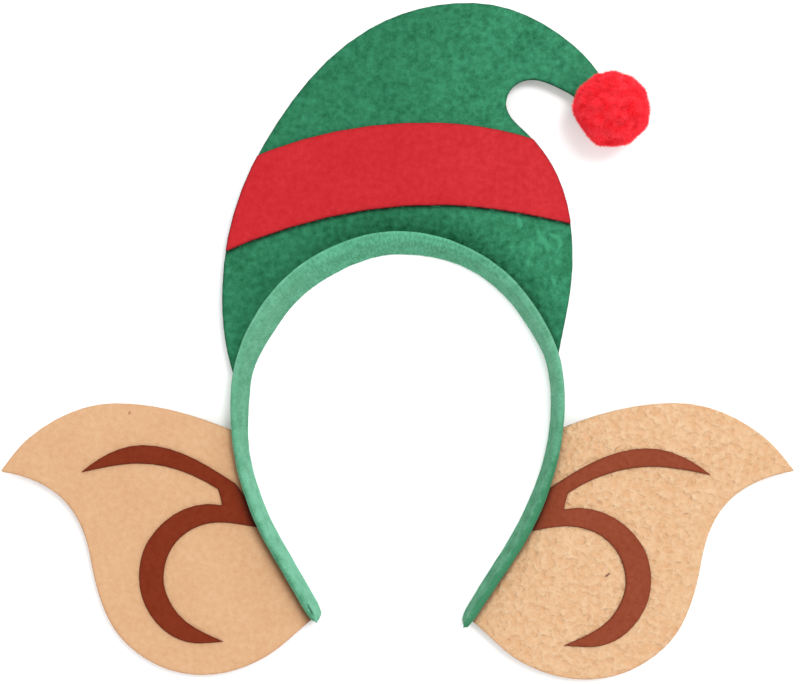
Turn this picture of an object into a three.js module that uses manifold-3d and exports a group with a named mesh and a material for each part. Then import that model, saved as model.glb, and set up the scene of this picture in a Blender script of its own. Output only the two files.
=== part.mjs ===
// Elf ear headband: a fabric-covered hoop that carries a felt hat and two felt ears.
// Lengths in millimetres. It lies on its back edge: X to the right, Y to the crown, Z up.

import * as THREE from "three";
import { mergeVertices } from "three/addons/utils/BufferGeometryUtils.js";
import Module from "manifold-3d";

const wasm = await Module();
wasm.setup();

// Hoop: the line of its front rim, from the crown down each side
const hoopRadius = 67.1;
const archAngle = 90; // degrees of the round arch on each side of the crown
const cheekRadius = 116; // flatter arc below the arch
const cheekAngle = 32; // degrees
const legLength = 34; // straight end of each side
const bandDepth = 14; // front to back
const bandThickness = 3.4;
const rimRounding = 1.4; // edges of the front rim
const baseRounding = 1; // edges of the back
const tipPinch = 0.9; // the closed sleeve is a little thinner at both tips
const rimSway = 1; // how far the rim strays from its arcs where its inset below is 1
const rimSteps = 88;
const wallSteps = 2; // segments of each rounded edge of the band

// Felt
const feltThickness = 2.4;
const feltEdge = 0.4; // softened cut edge
const feltMiddle = 7; // height of the felt's middle, half way up the band
const stripeThickness = 1.2;
const foldThickness = 1;
const trimEdge = 0.2;
const glueGap = 0.1; // between a trim and the felt below it
const grooveDepth = 1.2; // how far the felt edge is tucked into the band
const clearance = 0.3;
const tuck = 14; // stretch of a felt outline that runs on inside the hoop, to be cut away
const foldTuck = 7; // the same of a fold
const curveSteps = 6; // segments between two knots of an outline

// Hat
const hatHeight = 92; // above the crown of the hoop
const hatFlare = 2.8; // how far its sides stand out past the hoop

// Ears, measured from the tip of the hoop
const earLength = 128.7;
const earHeight = 110.5;

// Pompom
const pompomRadius = 15.6;
const pompomRise = 10.6; // centre above the face of the felt
const coreShare = 0.72; // of the radius, the ball under the locks
const coreSides = 12;
const coreRings = 8;
const lockCount = 54;
const lockWidth = 6;
const lockSides = 5;
const lockSpread = 0.05; // variation in the length of the locks, as a share
const lockNeck = 0.5; // width of a lock at its root and at the rim of its end, as a share
const lockShoulder = 0.86; // share of its length at which it is widest
const lockEnd = 0.97; // share of its length at the rim of its end
const goldenAngle = Math.PI * (3 - Math.sqrt(5)); // spreads the locks evenly

// The band leans: its back edge lies inside its front rim, by an angle in degrees. And its rim
// isn't a perfect arc: it is drawn in a little, by an inset in shares of its sway. The rows run
// from the left tip to the right tip, at shares of its length.
const bandLean = [
  { along: 0.0, lean: 8.5, inset: 0 },
  { along: 0.17, lean: 10, inset: -0.1 },
  { along: 0.25, lean: 17.5, inset: 0.2 },
  { along: 0.33, lean: 25.5, inset: 1.2 },
  { along: 0.41, lean: 27.3, inset: 0.9 },
  { along: 0.5, lean: 23.5, inset: 0 },
  { along: 0.6, lean: 16, inset: 0.4 },
  { along: 0.66, lean: 13.5, inset: 0.8 },
  { along: 0.72, lean: 8, inset: 0.1 },
  { along: 0.8, lean: 7, inset: -0.1 },
  { along: 0.88, lean: 9.5, inset: -0.1 },
  { along: 0.94, lean: 7.7, inset: -0.1 },
  { along: 1.0, lean: 3.5, inset: 0 },
];

// Outlines: knots with the heading of the edge there, in degrees. Where the edge turns sharply,
// leave is the heading after the knot.
// Hat: across in shares of the hoop's radius and flare, up in shares of the height above its centre.
// The pompom sits between the two knots marked as the tip.
const hatKnots = [
  { across: -0.956, up: 0.065, heading: 108 },
  { across: -1.021, up: 0.264, heading: 90 },
  { across: -0.811, up: 0.626, heading: 61.5 },
  { across: -0.231, up: 0.925, heading: 32 },
  { across: 0.368, up: 1.0, heading: 0 },
  { across: 0.946, up: 0.901, heading: -38.5 },
  { across: 1.19, up: 0.761, heading: -66, tip: true },
  { across: 1.114, up: 0.705, heading: -200, tip: true },
  { across: 0.926, up: 0.78, heading: -204 },
  { across: 0.716, up: 0.811, heading: -180 },
  { across: 0.57, up: 0.751, heading: -90 },
  { across: 0.66, up: 0.69, heading: -40 },
  { across: 0.875, up: 0.572, heading: -63.5 },
  { across: 0.979, up: 0.345, heading: -90 },
  { across: 0.924, up: 0.147, heading: -99 },
];

// Upper and lower edge of the stripe, in the same shares
const stripeTop = [
  { across: -0.944, up: 0.578, heading: 27 },
  { across: 0.189, up: 0.695, heading: 0 },
  { across: 0.856, up: 0.644, heading: -20 },
];
const stripeBottom = [
  { across: -1.074, up: 0.341, heading: 26 },
  { across: 0.249, up: 0.488, heading: 0 },
  { across: 1.036, up: 0.444, heading: -12 },
];

// Right ear: out and up from the tip of the hoop, in shares of its length and height
const earKnots = [
  { out: 0.291, up: 0.718, heading: 22 },
  { out: 0.634, up: 0.806, heading: 0 },
  { out: 0.906, up: 0.682, heading: -39 },
  { out: 1.0, up: 0.556, heading: -52, leave: -172 },
  { out: 0.821, up: 0.474, heading: -142 },
  { out: 0.738, up: 0.337, heading: -111 },
  { out: 0.713, up: 0.225, heading: -100 },
  { out: 0.656, up: 0.008, heading: -117 },
  { out: 0.517, up: -0.149, heading: -152 },
  { out: 0.358, up: -0.194, heading: -180 },
  { out: 0.163, up: -0.13, heading: -209 },
  { out: 0.0, up: 0.0, heading: -218 },
];

// Brown fold of the ear, one piece: a long lash above and a hook below, joined at the band
const foldKnots = [
  { out: 0.299, up: 0.537, heading: 33 },
  { out: 0.547, up: 0.643, heading: 0 },
  { out: 0.743, up: 0.544, heading: -40, leave: -192 },
  { out: 0.559, up: 0.576, heading: -180 },
  { out: 0.308, up: 0.482, heading: -147, leave: -108 },
  { out: 0.295, up: 0.424, heading: -102, leave: 8 },
  { out: 0.346, up: 0.429, heading: -3 },
  { out: 0.527, up: 0.302, heading: -57 },
  { out: 0.559, up: 0.165, heading: -90 },
  { out: 0.483, up: -0.024, heading: -139 },
  { out: 0.369, up: -0.074, heading: -180 },
  { out: 0.291, up: -0.068, heading: -186, leave: 24 },
  { out: 0.453, up: 0.06, heading: 60 },
  { out: 0.481, up: 0.16, heading: 90 },
  { out: 0.44, up: 0.293, heading: 131 },
  { out: 0.331, up: 0.36, heading: 172 },
  { out: 0.21, up: 0.349, heading: 190 },
];

// Each ear was cut and glued a little differently: its turn in degrees, its shift outwards in
// shares of its length, how long and how tall it is, and how far short of the hoop's tip its lower
// corner lies, in shares of the leg
const earPlaces = {
  left: { side: -1, turn: -2, shift: -0.014, stretch: 0.98, tall: 0.985, short: 0.015 },
  right: { side: 1, turn: 2.1, shift: -0.0039, stretch: 1.02, tall: 1, short: 0.074 },
};

const degrees = THREE.MathUtils.degToRad;
const feltBase = feltMiddle - feltThickness / 2;
const feltFace = feltMiddle + feltThickness / 2;

const archLength = hoopRadius * degrees(archAngle);
const cheekLength = cheekRadius * degrees(cheekAngle);
const halfRim = archLength + cheekLength + legLength;

// Point of the front rim at a signed distance from the crown, with its outward direction
function rimAt(distance) {
  const side = distance < 0 ? -1 : 1;
  const reach = Math.abs(distance);
  const onArch = Math.min(reach, archLength);
  const onCheek = Math.min(Math.max(reach - archLength, 0), cheekLength);
  const onLeg = Math.max(reach - archLength - cheekLength, 0);
  const archTurn = onArch / hoopRadius;
  const turn = archTurn + onCheek / cheekRadius;
  const point = new THREE.Vector2(Math.sin(archTurn), Math.cos(archTurn)).multiplyScalar(hoopRadius);
  const out = new THREE.Vector2(Math.sin(turn), Math.cos(turn));
  if (onCheek > 0) {
    const archEnd = new THREE.Vector2(Math.sin(archTurn), Math.cos(archTurn));
    point.addScaledVector(archEnd, -cheekRadius).addScaledVector(out, cheekRadius);
  }
  point.add(new THREE.Vector2(out.y, -out.x).multiplyScalar(onLeg));
  return {
    point: point.set(side * point.x, point.y),
    out: out.set(side * out.x, out.y),
  };
}

class HoopRim extends THREE.Curve {
  getPoint(share, target = new THREE.Vector3()) {
    const { point } = rimAt((2 * share - 1) * halfRim);
    return target.set(point.x, point.y, bandDepth);
  }
}

// How far the rim is drawn in, and how far the band moves inwards for each millimetre below it
function leanAt(share) {
  const last = bandLean.length - 1;
  const found = bandLean.findIndex((row, index) => index > 0 && share <= row.along);
  const after = found < 0 ? last : found;
  const to = bandLean[after];
  const from = bandLean[after - 1];
  const part = THREE.MathUtils.smoothstep(share, from.along, to.along);
  return {
    inset: rimSway * THREE.MathUtils.lerp(from.inset, to.inset, part),
    slope: Math.tan(degrees(THREE.MathUtils.lerp(from.lean, to.lean, part))),
  };
}

const stations = Array.from({ length: rimSteps + 1 }, (_, step) => {
  const share = step / rimSteps;
  return { ...rimAt((2 * share - 1) * halfRim), ...leanAt(share), step };
});

// How far the outer face of the band lies inside the arc of the rim at one height
const drawnIn = ({ inset, slope }, height) => inset + (bandDepth - height) * slope;

function solidOf(geometry) {
  const bare = geometry.clone();
  bare.deleteAttribute("normal");
  bare.deleteAttribute("uv");
  const merged = mergeVertices(bare);
  return new wasm.Manifold(new wasm.Mesh({
    numProp: 3,
    vertProperties: Float32Array.from(merged.attributes.position.array),
    triVerts: Uint32Array.from(merged.index.array),
  }));
}

function meshOf(name, solid, material) {
  const { vertProperties, triVerts } = solid.getMesh();
  const geometry = new THREE.BufferGeometry();
  geometry.setAttribute("position", new THREE.BufferAttribute(vertProperties, 3));
  geometry.setIndex(new THREE.BufferAttribute(triVerts, 1));
  geometry.computeVertexNormals();
  const mesh = new THREE.Mesh(geometry, material);
  mesh.name = name;
  return mesh;
}

// A flat plate of an outline, from a base height upwards, with softened edges
function plate(points, base, thickness, edge = 0) {
  const geometry = new THREE.ExtrudeGeometry(new THREE.Shape(points), {
    depth: thickness - 2 * edge,
    bevelEnabled: edge > 0,
    bevelThickness: edge,
    bevelSize: edge,
    bevelOffset: -edge,
    bevelSegments: 1,
  });
  geometry.translate(0, 0, base + edge);
  return solidOf(geometry);
}

const headingVector = (angle) => new THREE.Vector2(Math.cos(degrees(angle)), Math.sin(degrees(angle)));

// Smooth curve through knots, each stretch close to an arc
function traced(knots) {
  const path = new THREE.Path();
  path.moveTo(knots[0].at.x, knots[0].at.y);
  knots.slice(1).forEach((knot, index) => {
    const last = knots[index];
    const start = last.leave ?? last.heading;
    const bend = degrees(knot.heading - start);
    const pull = last.at.distanceTo(knot.at) / 3 / Math.cos(bend / 4) ** 2;
    const first = last.at.clone().addScaledVector(headingVector(start), pull);
    const second = knot.at.clone().addScaledVector(headingVector(knot.heading), -pull);
    path.bezierCurveTo(first.x, first.y, second.x, second.y, knot.at.x, knot.at.y);
  });
  return path.getPoints(curveSteps);
}

// The same curve with both ends run on straight, into the space inside the hoop
function rooted(knots, run) {
  const first = knots[0];
  const last = knots[knots.length - 1];
  return [
    first.at.clone().addScaledVector(headingVector(first.heading), -run),
    ...traced(knots),
    last.at.clone().addScaledVector(headingVector(last.heading), run),
  ];
}

// Outline moved outwards by a small distance
function grown(points, distance) {
  const turning = Math.sign(THREE.ShapeUtils.area(points));
  return points.map((point, index) => {
    const before = points[(index + points.length - 1) % points.length];
    const after = points[(index + 1) % points.length];
    const way = after.clone().sub(before).normalize();
    return new THREE.Vector2(point.x + turning * way.y * distance, point.y - turning * way.x * distance);
  });
}

// The space inside the hoop at one height, starting some way inside the outer face of the band
function hollow(height, inside) {
  const line = stations.map((station) => {
    return station.point.clone().addScaledVector(station.out, -drawnIn(station, height) - inside);
  });
  const ends = [line[0], line[line.length - 1]].map((end, index) => {
    const next = index === 0 ? line[1] : line[line.length - 2];
    return end.clone().add(end.clone().sub(next));
  });
  return [ends[0], ...line, ends[1]];
}

function bandSection() {
  const shape = new THREE.Shape();
  const rim = rimRounding;
  const base = baseRounding;
  const quarter = Math.PI / 2;
  shape.absarc(rim, -rim, rim, quarter, 2 * quarter, false);
  shape.absarc(rim, rim - bandThickness, rim, 2 * quarter, 3 * quarter, false);
  shape.absarc(bandDepth - base, base - bandThickness, base, 3 * quarter, 4 * quarter, false);
  shape.absarc(bandDepth - base, -base, base, 0, quarter, false);
  return shape;
}

// Upright strip along the rim, then leaned by moving each point inwards by its depth below the rim
function bandStrip() {
  const geometry = new THREE.ExtrudeGeometry(bandSection(), {
    steps: rimSteps,
    extrudePath: new HoopRim(),
    curveSegments: wallSteps,
    bevelEnabled: false,
  });
  const position = geometry.attributes.position;
  const spot = new THREE.Vector3();
  for (let index = 0; index < position.count; index += 1) {
    spot.fromBufferAttribute(position, index);
    const flat = new THREE.Vector2(spot.x, spot.y);
    const station = stations.reduce((best, next) => {
      return flat.distanceToSquared(next.point) < flat.distanceToSquared(best.point) ? next : best;
    });
    const { point, out, step } = station;
    const outward = flat.clone().sub(point).dot(out);
    const atTip = step === 0 || step === rimSteps;
    const width = atTip ? 1 - tipPinch / bandThickness : 1;
    const depth = atTip ? 1 - (2 * tipPinch) / bandDepth : 1;
    const height = bandDepth / 2 + (spot.z - bandDepth / 2) * depth;
    const shift = (outward + bandThickness / 2) * width - bandThickness / 2;
    const moved = point.clone().addScaledVector(out, shift - drawnIn(station, height));
    position.setXYZ(index, moved.x, moved.y, height);
  }
  return solidOf(geometry);
}

// Groove in the outer face of the band for the edge of a felt piece
function groove(outline) {
  const slot = plate(grown(outline, clearance), feltBase - clearance, feltThickness + 2 * clearance);
  const inside = plate(hollow(feltMiddle, grooveDepth + clearance), 0, bandDepth);
  return slot.subtract(inside);
}

function feltPiece(outline) {
  const inside = plate(hollow(feltMiddle, grooveDepth), 0, bandDepth);
  return plate(outline, feltBase, feltThickness, feltEdge).subtract(inside);
}

const onHat = ({ across, up, ...knot }) => {
  const at = new THREE.Vector2(across * (hoopRadius + hatFlare), up * (hoopRadius + hatHeight));
  return { ...knot, at };
};

function stripe(hatOutline) {
  const lower = traced(stripeBottom.map(onHat));
  const upper = traced(stripeTop.map(onHat)).reverse();
  const base = feltFace + glueGap;
  const strip = plate([...lower, ...upper], base, stripeThickness, trimEdge);
  return strip.intersect(plate(hatOutline, base, stripeThickness, trimEdge));
}

// A knot of the right ear, turned and moved to its place, and mirrored for the left ear
const onEar = ({ side, turn, shift, stretch, tall }) => ({ out, up, heading, leave }) => {
  const at = new THREE.Vector2(out * stretch * earLength, up * tall * earHeight);
  at.rotateAround(new THREE.Vector2(), degrees(turn)).add(rimAt(halfRim).point);
  at.x += shift * earLength;
  const turned = (angle) => (side > 0 ? angle + turn : 180 - angle - turn);
  return {
    at: at.set(side * at.x, at.y),
    heading: turned(heading),
    leave: leave === undefined ? undefined : turned(leave),
  };
};

// Its lowest knot is drawn to the rim, next to the tip of the hoop
function earOutline(place) {
  const knots = earKnots.map(onEar(place));
  const corner = rimAt(place.side * (halfRim - place.short * legLength)).point;
  knots[knots.length - 1].at.copy(corner);
  return rooted(knots, tuck);
}

function earFold(place) {
  const base = feltFace + glueGap;
  const outline = rooted(foldKnots.map(onEar({ ...place, tall: 1 })), foldTuck);
  const clear = plate(hollow(base + foldThickness, -clearance), 0, bandDepth);
  return plate(outline, base, foldThickness, trimEdge).subtract(clear);
}

// Directions spread evenly over a ball
function lockDirection(index) {
  const height = 1 - (2 * index + 1) / lockCount;
  const ring = Math.sqrt(1 - height * height);
  const turn = index * goldenAngle;
  return new THREE.Vector3(ring * Math.cos(turn), ring * Math.sin(turn), height);
}

function lock(index) {
  const length = pompomRadius * (1 - lockSpread * (index % 3));
  const half = lockWidth / 2;
  const profile = [
    new THREE.Vector2(0, 0),
    new THREE.Vector2(half * lockNeck, 0),
    new THREE.Vector2(half, length * lockShoulder),
    new THREE.Vector2(half * lockNeck, length * lockEnd),
    new THREE.Vector2(0, length),
  ];
  const geometry = new THREE.LatheGeometry(profile, lockSides);
  const up = new THREE.Vector3(0, 1, 0);
  geometry.applyQuaternion(new THREE.Quaternion().setFromUnitVectors(up, lockDirection(index)));
  return solidOf(geometry);
}

// Locks fused to a core over the tip of the hat, with a flat seat on the face of the felt
function pompom() {
  const core = solidOf(new THREE.SphereGeometry(coreShare * pompomRadius, coreSides, coreRings));
  const locks = Array.from({ length: lockCount }, (_, index) => lock(index));
  const ball = locks.reduce((sum, next) => sum.add(next), core);
  const [upper, lower] = hatKnots.filter((knot) => knot.tip).map((knot) => onHat(knot).at);
  const centre = upper.add(lower).multiplyScalar(0.5);
  const block = 3 * pompomRadius;
  const below = new THREE.BoxGeometry(block, block, block);
  below.translate(centre.x, centre.y, feltFace + glueGap - block / 2);
  return ball.translate([centre.x, centre.y, feltFace + pompomRise]).subtract(solidOf(below));
}

const fabric = (color) => new THREE.MeshStandardMaterial({ color, roughness: 0.95, metalness: 0 });
const hatOutline = rooted(hatKnots.map(onHat), tuck);
const leftOutline = earOutline(earPlaces.left);
const rightOutline = earOutline(earPlaces.right);
const band = [hatOutline, leftOutline, rightOutline].reduce((strip, outline) => {
  return strip.subtract(groove(outline));
}, bandStrip());

const headband = new THREE.Group();
headband.name = "elf_ear_headband";
headband.add(
  meshOf("band", band, fabric(0x67b48f)),
  meshOf("hat", feltPiece(hatOutline), fabric(0x3a875f)),
  meshOf("hat_stripe", stripe(hatOutline), fabric(0xd42f34)),
  meshOf("pompom", pompom(), fabric(0xf42f39)),
  meshOf("ear_left", feltPiece(leftOutline), fabric(0xe7b389)),
  meshOf("ear_right", feltPiece(rightOutline), fabric(0xf0c79c)),
  meshOf("ear_fold_left", earFold(earPlaces.left), fabric(0x85361d)),
  meshOf("ear_fold_right", earFold(earPlaces.right), fabric(0x9b4c33)),
);

// The origin is the middle of the footprint, on the surface that the headband lies on
const box = new THREE.Box3().setFromObject(headband);
const middle = box.getCenter(new THREE.Vector3());
headband.position.set(-middle.x, -middle.y, -box.min.z);

export default headband;
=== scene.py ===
# %% [markdown]
# # An elf ear headband in felt and knitted fabric
#
# The real thing is a plastic hoop in a knitted sleeve, with a felt hat and two felt ears glued
# into its outer face. It lies on its back on a white table. The frame holds its measured solids,
# one for each piece. Here each solid is replaced by a piece of the same shape with the nap,
# wrinkles, ribs and fibres of the real material. Everything is in metres.

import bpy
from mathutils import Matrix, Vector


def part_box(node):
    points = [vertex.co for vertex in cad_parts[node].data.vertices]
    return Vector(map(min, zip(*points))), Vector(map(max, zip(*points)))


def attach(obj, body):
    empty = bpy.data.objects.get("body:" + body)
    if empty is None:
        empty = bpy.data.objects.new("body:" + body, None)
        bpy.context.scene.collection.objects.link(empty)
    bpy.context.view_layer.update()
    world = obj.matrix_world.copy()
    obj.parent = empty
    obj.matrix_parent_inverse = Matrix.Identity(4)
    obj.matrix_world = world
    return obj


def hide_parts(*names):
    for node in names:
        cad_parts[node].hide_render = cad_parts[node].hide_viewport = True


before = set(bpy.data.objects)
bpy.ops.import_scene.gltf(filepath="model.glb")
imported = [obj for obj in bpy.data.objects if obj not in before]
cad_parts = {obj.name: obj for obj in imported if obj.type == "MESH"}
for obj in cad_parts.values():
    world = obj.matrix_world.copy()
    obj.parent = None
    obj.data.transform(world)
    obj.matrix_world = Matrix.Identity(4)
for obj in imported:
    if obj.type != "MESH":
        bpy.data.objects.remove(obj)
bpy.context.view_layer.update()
print("solids:", sorted(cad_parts))

# %% Tools of this lesson
import math

import bpy
import numpy as np
from mathutils import Vector, kdtree, noise

MM = 0.001

# %% [markdown]
# ## The camera
#
# The headband was photographed from straight above, with the camera turned 1.8 degrees. On the
# felt the picture is 320 mm wide. The perspective is weak, so an orthographic camera would nearly
# do, but it would hide the little of the hoop's inner wall that shows. A long lens keeps that.
# Its focal length follows from the distance and from the width that is seen.

# %% Camera
FELT_MIDDLE = 7 * MM  # height of the middle of the felt above the table
DISTANCE = 700 * MM
SEEN_WIDTH = 320 * MM
CAMERA_TURN = math.radians(1.8)
PICTURE_CENTRE = (-0.63 * MM, -0.45 * MM)

bpy.ops.object.camera_add(
    location=(*PICTURE_CENTRE, FELT_MIDDLE + DISTANCE),
    rotation=(0, 0, CAMERA_TURN),
)
camera = bpy.context.object
camera.name = "camera"
camera.data.lens = camera.data.sensor_width * DISTANCE / SEEN_WIDTH
bpy.context.scene.camera = camera
print(f"lens: {camera.data.lens:.1f} mm")

# %% [markdown]
# ## Table and light
#
# A product photograph is made in a tent of white cloth, with a lamp outside it. A few lamps all
# round could stand for the tent, but an even white surround does that with one value, and one
# large soft lamp, high at the upper right, gives the shadows their side. Together they light the
# table well past white, so that only the deepest shadows show on it. All tints below are as read
# in the picture, so each is divided by this exposure.

# %% Table
TABLE_WIDTH = 6
TABLE_DROP = 0.1 * MM  # below the frame's floor, so that the two faces don't fight

bpy.ops.mesh.primitive_plane_add(size=TABLE_WIDTH, location=(0, 0, -TABLE_DROP))
table = bpy.context.object
table.name = "table"
print(f"table: {TABLE_WIDTH} m wide")

# %% Light
EXPOSURE = 1.6
SURROUND = 0.72 * EXPOSURE
LAMP_PLACE = Vector((0.42, 0.54, 1.70))
LAMP_WIDTH = 0.6
LAMP_POWER = 10.6 * EXPOSURE

world = bpy.data.worlds.new("surround")
world.use_nodes = True
world.node_tree.nodes["Background"].inputs["Color"].default_value = (1, 1, 1, 1)
world.node_tree.nodes["Background"].inputs["Strength"].default_value = SURROUND
bpy.context.scene.world = world

bpy.ops.object.light_add(type="AREA", location=LAMP_PLACE)
lamp = bpy.context.object
lamp.name = "lamp"
lamp.rotation_euler = LAMP_PLACE.to_track_quat("Z", "Y").to_euler()
lamp.data.size = LAMP_WIDTH
lamp.data.energy = LAMP_POWER
bpy.context.scene.view_settings.view_transform = "Standard"
print("lamp at", tuple(round(x, 2) for x in LAMP_PLACE))

# %% [markdown]
# ## A board for nodes
#
# Finishes and fibres are made of nodes. They could be laid and linked one by one, but then a
# short formula fills a page. So a strand is a value on its way from one node to the next, and
# arithmetic on it adds Math nodes, and the formula reads as it would on paper. A board lays all
# other nodes: their settings first, then the values or strands of their sockets.


# %% Strands
class Strand:
    """A value on its way through the nodes of a board."""

    def __init__(self, board, socket):
        self.board = board
        self.socket = socket

    def __add__(self, other):
        return self.board.math("ADD", self, other)

    def __sub__(self, other):
        return self.board.math("SUBTRACT", self, other)

    def __rsub__(self, other):
        return self.board.math("SUBTRACT", other, self)

    def __mul__(self, other):
        return self.board.math("MULTIPLY", self, other)

    def __gt__(self, other):
        return self.board.math("GREATER_THAN", self, other)

    def __abs__(self):
        return self.board.math("ABSOLUTE", self)

    def sine(self):
        return self.board.math("SINE", self)


# %% The board
class Board:
    """Lays and links nodes in one tree."""

    def __init__(self, tree):
        self.tree = tree

    def add(self, kind, settings=None, sockets=None, output=0):
        node = self.tree.nodes.new(kind)
        for name, value in (settings or {}).items():
            setattr(node, name, value)
        for key, value in (sockets or {}).items():
            if isinstance(value, Strand):
                self.tree.links.new(value.socket, node.inputs[key])
            else:
                node.inputs[key].default_value = value
        return Strand(self, node.outputs[output])

    def math(self, operation, *values):
        return self.add("ShaderNodeMath", {"operation": operation}, dict(enumerate(values)))

    def speckle(self, place, size, detail=2.0, seed=0.0, twist=0.0):
        """Noise with grains of a size in metres, about 0."""
        shifted = self.add(
            "ShaderNodeVectorMath", {"operation": "ADD"}, {0: place, 1: (seed, seed / 2, -seed)}
        )
        grains = self.add(
            "ShaderNodeTexNoise", {},
            {"Vector": shifted, "Scale": 1 / size, "Detail": detail, "Distortion": twist},
        )
        return grains - 0.5

    def stored(self, name, output=2):
        """A value that each vertex of the piece holds."""
        return self.add("ShaderNodeAttribute", {"attribute_name": name}, output=output)

    def blend(self, share, first, second):
        """Mixes two colours."""
        return self.add(
            "ShaderNodeMix", {"data_type": "RGBA"}, {0: share, 6: first, 7: second}, output=2
        )

    def ramp(self, value, low, high):
        """0 below low and 1 above high, with a soft passage."""
        return self.add(
            "ShaderNodeMapRange", {"interpolation_type": "SMOOTHSTEP"},
            {"Value": value, "From Min": low, "From Max": high},
        )

    def between(self, share, low, high):
        """Goes from low, where the share is 0, to high, where it is 1."""
        return share * (high - low) + low


# %% Tints
def tint(red, green, blue):
    """Colour of a surface that reads as this, from 0 to 255, in the picture."""
    shares = [value / 255 for value in (red, green, blue)]
    linear = [s / 12.92 if s < 0.04045 else ((s + 0.055) / 1.055) ** 2.4 for s in shares]
    return (*(value / EXPOSURE for value in linear), 1)


# %% [markdown]
# ## Finishes
#
# Felt, knit, yarn and the table are all matt. Each could have a shader of its own, but they
# differ in little more than their colour and the height of their bumps. So `finish` makes the
# material and its shader, and the caller gives those two. A little sheen stands for the nap, the
# fine fibres on a fabric that catch the light at a low angle.


# %% A finish
def finish(name, make, bump, sheen=0.02):
    """A matt material. make(board, place) gives its colour and its height, in metres."""
    material = bpy.data.materials.new(name)
    material.use_nodes = True
    board = Board(material.node_tree)
    place = board.add("ShaderNodeTexCoord", output=3)
    colour, height = make(board, place)
    shader = material.node_tree.nodes["Principled BSDF"]
    shader.inputs["Roughness"].default_value = 0.95
    shader.inputs["Specular IOR Level"].default_value = 0.1
    shader.inputs["Sheen Weight"].default_value = sheen
    material.node_tree.links.new(colour.socket, shader.inputs["Base Color"])
    normal = board.add("ShaderNodeBump", {}, {"Strength": bump, "Distance": 1.0, "Height": height})
    material.node_tree.links.new(normal.socket, shader.inputs["Normal"])
    return material


# %% The table's finish
TABLE_GREY = (0.955, 0.955, 0.96, 1)
TABLE_WHITE = (0.975, 0.975, 0.975, 1)


def table_top(board, place):
    cloud = board.speckle(place, 300 * MM) + 0.5
    grain = board.speckle(place, 0.8 * MM) * (0.01 * MM)
    return board.blend(cloud, TABLE_GREY, TABLE_WHITE), grain


table.data.materials.append(finish("table_white", table_top, bump=0.3, sheen=0))

# %% [markdown]
# ## Felt
#
# Felt is matted fibre: from near by it shows pale and dark flecks one to three millimetres wide,
# and thin curled wrinkles where the sheet was pressed, and its cut edge is painted darker, as
# painted shade. A photograph of felt would show its own wrinkles again and again, so the flecks
# are noise on the felt's own coordinates: clouds, blotches and fibres, and the hide of an embossed
# sheet. A wrinkle is where a twisted noise crosses its middle value, which draws thin worm-like
# lines, and a second noise keeps them in patches. Flecks and wrinkles grow stronger, and the felt
# a little paler, from the left to the right of a sheet, between the two places in `pressed`.
#
# Four values are stored on the meshes below, because they depend on what lies next to the felt.
# `edge` is 1 on a cut edge, most where it is in the shade, and fades inwards; there the felt is
# painted darker, as painted shade. A second value is 1 next to the hoop, where the felt is painted
# darker as painted shade. A third is 1 on painted shadow lines beside the hoop and below the
# stripe. And `ridge` is 1 on a crease, which is paler.


# %% Felt finish
EDGE_SHADE_COVER = 0.85  # how far a cut edge is painted towards its tint, as painted shade
PAINTED_SHADOW_SHARE = 0.4  # tint of a painted shadow line, as a share of the tint of the cut edge
RIDGE_TONE = 0.8  # how much paler a crease is, 1 being the way from the dark to the light tint
PAINTED_SHADE_TONE = 0.4  # how much darker the painted shade next to the hoop makes the felt, on the same scale
MIDDLE_TONE = 0.5
PRESS_MIDDLE = 0.4  # felt that is pressed more than this is paler, and the rest darker
WRINKLE_EDGE = 0.07  # a wrinkle ends where its noise is this far from its middle value
WRINKLE_RISE, BLOTCH_RISE, FIBRE_RISE = 0.35 * MM, 0.22 * MM, 0.09 * MM


def wrinkles(board, place, press, seed):
    """1 on thin curled lines in patches, clearer where the sheet was pressed."""
    curl = board.speckle(place, 3.0 * MM, detail=1, seed=seed + 7, twist=0.7)
    line = 1 - board.ramp(abs(curl), 0.0, WRINKLE_EDGE)
    patch = board.ramp(board.speckle(place, 8 * MM, seed=seed + 9), -0.1, 0.06)
    return line * patch * board.between(press, 0.4, 1.0)


def felt(name, dark, light, cut, flecks, wrinkle, pressed, emboss, seed, marks=()):
    """Felt between two tints, with its flecks, wrinkles and embossing, and painted shade and
    shadow.
    """
    # colour of the painted shadow lines
    glue = (*(PAINTED_SHADOW_SHARE * value for value in cut[:3]), 1)

    def make(board, place):
        cloud = board.speckle(place, 14 * MM, seed=seed)
        blotch = board.speckle(place, 2.3 * MM, seed=seed + 3)
        fibre = board.speckle(place, 0.7 * MM, seed=seed + 5, twist=1.0)
        hide = board.speckle(place, 2.2 * MM, detail=1, seed=seed + 11, twist=0.3)
        grain = cloud * flecks["cloud"] + blotch * flecks["blotch"]
        grain = grain + fibre * flecks["fibre"] + hide * flecks["hide"]
        press = board.ramp(board.add("ShaderNodeSeparateXYZ", {}, {0: place}), *pressed)
        worm = wrinkles(board, place, press, seed)
        tone = grain * board.between(press, 0.85, 1.15)
        tone = tone + (worm + press - PRESS_MIDDLE) * wrinkle + MIDDLE_TONE
        # painted shade: the felt is painted darker next to the hoop
        tone = tone + board.stored("ridge") * RIDGE_TONE - board.stored("painted_shade") * PAINTED_SHADE_TONE
        colour = board.blend(tone, dark, light)
        # painted shade on the cut edges, strongest on those facing away from the lamp
        colour = board.blend(board.stored("edge") * EDGE_SHADE_COVER, colour, cut)
        # painted shadow lines beside the hoop and below the stripe
        colour = board.blend(board.stored("glued"), colour, glue)
        for mark in marks:
            colour = stained(board, place, colour, mark)
        height = blotch * BLOTCH_RISE + fibre * FIBRE_RISE + worm * (wrinkle * WRINKLE_RISE)
        return colour, height + hide * emboss

    return finish(name, make, bump=1.0)


# %% A stain
MARK_GRAIN = 0.9 * MM  # grain of a stain's ragged rim
MARK_BLUR = (0.3, 1.1)  # it fades between these shares of its size
MARK_HEIGHT = 10 * MM  # tall enough for the felt's whole thickness


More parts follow.
